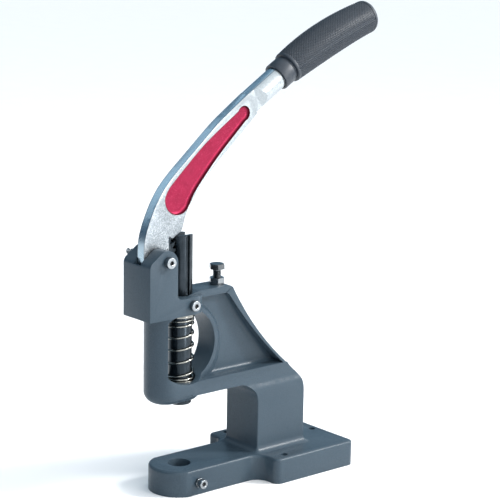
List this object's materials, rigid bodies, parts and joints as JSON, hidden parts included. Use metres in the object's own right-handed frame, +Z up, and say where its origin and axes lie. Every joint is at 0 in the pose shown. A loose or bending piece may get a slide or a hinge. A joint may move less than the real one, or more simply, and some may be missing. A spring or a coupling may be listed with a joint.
{
  "type": "arbor press",
  "caption": "Bench hand press: cast C-frame with a rack-driven round ram, a toothed sector on a long curved lever, a return spring and an anvil bore in the base.",
  "frame": {"origin": "on the axis of the ram and of the anvil bore, at the underside of the base", "axes": "+Z up along the ram, -Y towards the operator and the tongue, +X to the operator's right; the ram and the lever are at rest, fully up"},
  "size_m": [0.104, 0.2804, 0.4436],
  "materials": {
    "enamel": "satin grey-blue enamel on cast iron",
    "ram_steel": "dark blued steel, ground",
    "spring_steel": "bright",
    "plating": "bright zinc-nickel plating",
    "zinc": "bright zinc plate",
    "bronze": "plain bearing bronze",
    "grip_rubber": "matt, knurled"
  },
  "bodies": {
    "frame": {"frame_casting": "enamel", "ram_guide_screw": "zinc", "return_spring": "spring_steel", "spring_seat": "spring_steel", "pivot_bolt": "zinc", "pivot_washer": "zinc", "pivot_nut": "zinc", "hub_washers": "bronze", "stop_bolt": "zinc", "stop_lock_nut": "zinc", "anvil_clamp_screw": "zinc", "anvil_clamp_nut": "zinc"},
    "ram": {"ram": "ram_steel", "snap_ring": "spring_steel", "spring_washer": "spring_steel"},
    "lever": {"lever": "plating", "sector_gear": "ram_steel", "sector_pins": "zinc", "lever_bush": "bronze", "handle_grip": "grip_rubber"}
  },
  "joints": [
    {"name": "lever_swing", "type": "hinge", "parent": "frame", "child": "lever", "pos_m": [0, -0.0295, 0.2239], "axis": [-1, 0, 0], "range_deg": [0, 62.5], "stiffness_Nm_per_rad": 0.831, "springref_deg": -91.39},
    {"name": "ram_slide", "type": "slide", "parent": "frame", "child": "ram", "axis": [0, 0, -1], "range_m": [0, 0.023], "stiffness_N_per_m": 300, "springref_m": -0.0335, "deforming": ["return_spring"]}
  ],
  "couplings": [
    {"joint": "ram_slide", "follows": "lever_swing", "m_per_rad": 0.021}
  ]
}
